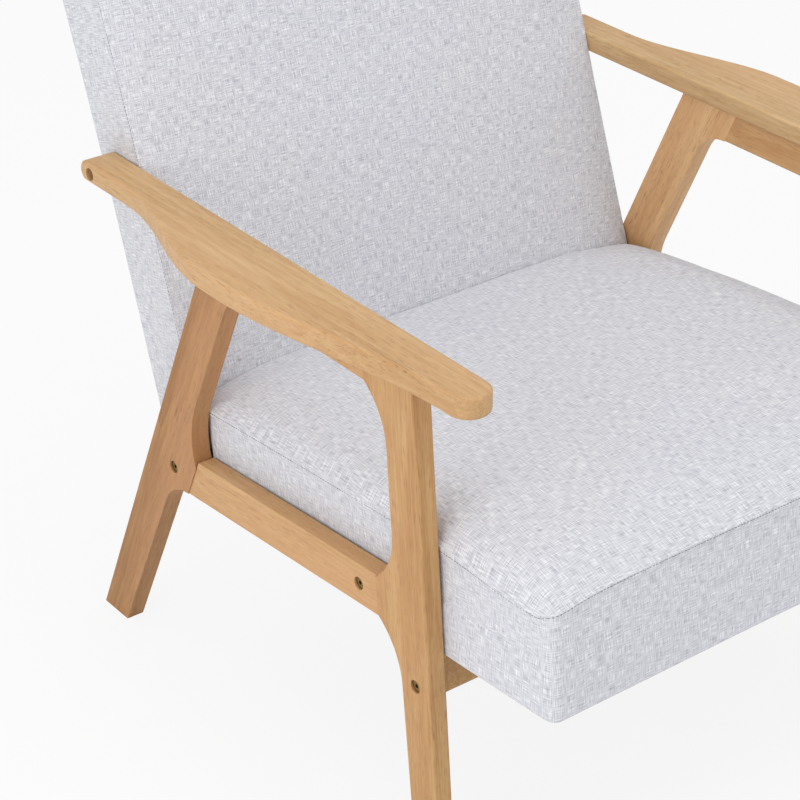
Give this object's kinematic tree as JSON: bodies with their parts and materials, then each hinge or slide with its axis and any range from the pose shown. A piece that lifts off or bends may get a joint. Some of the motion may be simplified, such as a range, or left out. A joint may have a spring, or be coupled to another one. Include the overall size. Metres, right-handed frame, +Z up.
{
  "type": "accent chair",
  "caption": "Accent chair with sculpted solid wood side frames, flared armrests and a light grey upholstered seat and back",
  "frame": {"origin": "on the floor under the middle of the chair's bounding box", "axes": "+Z up, the chair faces -Y, +X is to the right seen from the front"},
  "size_m": [0.773, 0.8218, 0.7862],
  "materials": {
    "oak": "satin, natural oak",
    "pine": "sawn",
    "upholstery": "light grey linen weave",
    "dust_cover": "black non-woven cloth",
    "webbing": "elastic webbing",
    "foam": "upholstery foam",
    "brass_bolts": "antique brass plating on steel",
    "steel": "zinc plated"
  },
  "bodies": {
    "root": {"left_armrest": "oak", "right_armrest": "oak", "left_rear_leg": "oak", "right_rear_leg": "oak", "left_front_leg": "oak", "right_front_leg": "oak", "left_upper_rail": "oak", "right_upper_rail": "oak", "left_side_rail": "oak", "right_side_rail": "oak", "front_cross_rail": "oak", "rail_dowels": "pine", "armrest_dowels": "pine", "cross_rail_dowels": "pine", "seat_side_rails": "pine", "seat_front_rail": "pine", "seat_middle_rail": "pine", "seat_rear_rail": "pine", "seat_corner_blocks": "pine", "seat_webbing": "webbing", "seat_foam": "foam", "seat_cover": "upholstery", "seat_dust_cover": "dust_cover", "back_stiles": "pine", "back_top_rail": "pine", "back_middle_rail": "pine", "back_bottom_rail": "pine", "back_webbing": "webbing", "back_foam": "foam", "back_rear_foam": "foam", "back_cover": "upholstery", "back_rear_panel": "upholstery", "armrest_bolts": "brass_bolts", "seat_bolts": "brass_bolts", "cross_rail_bolts": "brass_bolts", "back_bolts": "steel", "bolt_washers": "brass_bolts", "seat_inserts": "steel", "back_inserts": "steel", "barrel_nuts": "steel"}
  },
  "joints": []
}
